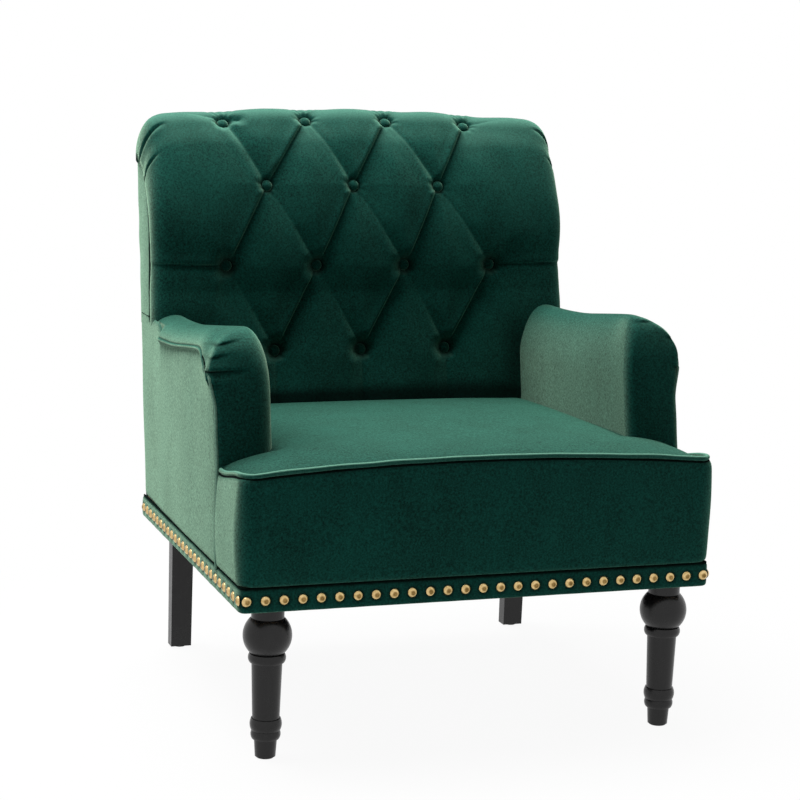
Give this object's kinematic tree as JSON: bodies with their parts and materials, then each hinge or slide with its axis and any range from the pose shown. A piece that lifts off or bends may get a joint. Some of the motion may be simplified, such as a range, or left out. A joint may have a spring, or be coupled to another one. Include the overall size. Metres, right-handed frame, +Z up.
{
  "type": "tufted club chair",
  "caption": "Low upholstered armchair with a button-tufted raked back, rolled arms, a tight T-shaped seat, a nailed base and turned front legs, to sit in.",
  "frame": {"origin": "on the floor, below the middle of the chair's overall box", "axes": "+X to the right as seen from the front, -Y to the front of the seat, +Z up"},
  "size_m": [0.7364, 0.7341, 0.8933],
  "materials": {
    "velvet": "dark green velvet pile",
    "black_wood": "satin black lacquer",
    "brass": "polished domed heads",
    "glide": "smooth moulded",
    "frame_wood": "sawn hardwood",
    "steel": "plain steel",
    "foam": "upholstery foam",
    "webbing": "woven webbing and felt",
    "dust_cloth": "thin black cloth"
  },
  "bodies": {
    "root": {"arm_cover_left": "velvet", "arm_cover_right": "velvet", "arm_foam_left": "foam", "arm_foam_right": "foam", "arm_post_left": "frame_wood", "arm_post_right": "frame_wood", "arm_rail_left": "frame_wood", "arm_rail_right": "frame_wood", "back_foam": "foam", "back_lower_rail": "frame_wood", "back_post_left": "frame_wood", "back_post_right": "frame_wood", "back_strip_left": "velvet", "back_strip_right": "velvet", "back_top_rail": "frame_wood", "back_webbing": "webbing", "corner_blocks": "frame_wood", "dust_cover": "dust_cloth", "frame_screws": "steel", "front_border": "velvet", "front_glide_left": "glide", "front_glide_right": "glide", "front_leg_left": "black_wood", "front_leg_right": "black_wood", "front_rail": "frame_wood", "inside_back": "velvet", "leg_bolts": "steel", "leg_nuts": "steel", "nail_band": "velvet", "nailheads_front": "brass", "nailheads_left": "brass", "nailheads_right": "brass", "outside_arm_left": "velvet", "outside_arm_right": "velvet", "outside_back": "velvet", "rear_glide_left": "glide", "rear_glide_right": "glide", "rear_leg_left": "black_wood", "rear_leg_right": "black_wood", "rear_rail": "frame_wood", "seat_cover": "velvet", "seat_felt": "webbing", "seat_foam": "foam", "seat_springs": "steel", "seat_welt": "velvet", "side_rail_left": "frame_wood", "side_rail_right": "frame_wood", "spring_clips": "steel", "tuft_buttons": "velvet"}
  },
  "joints": []
}
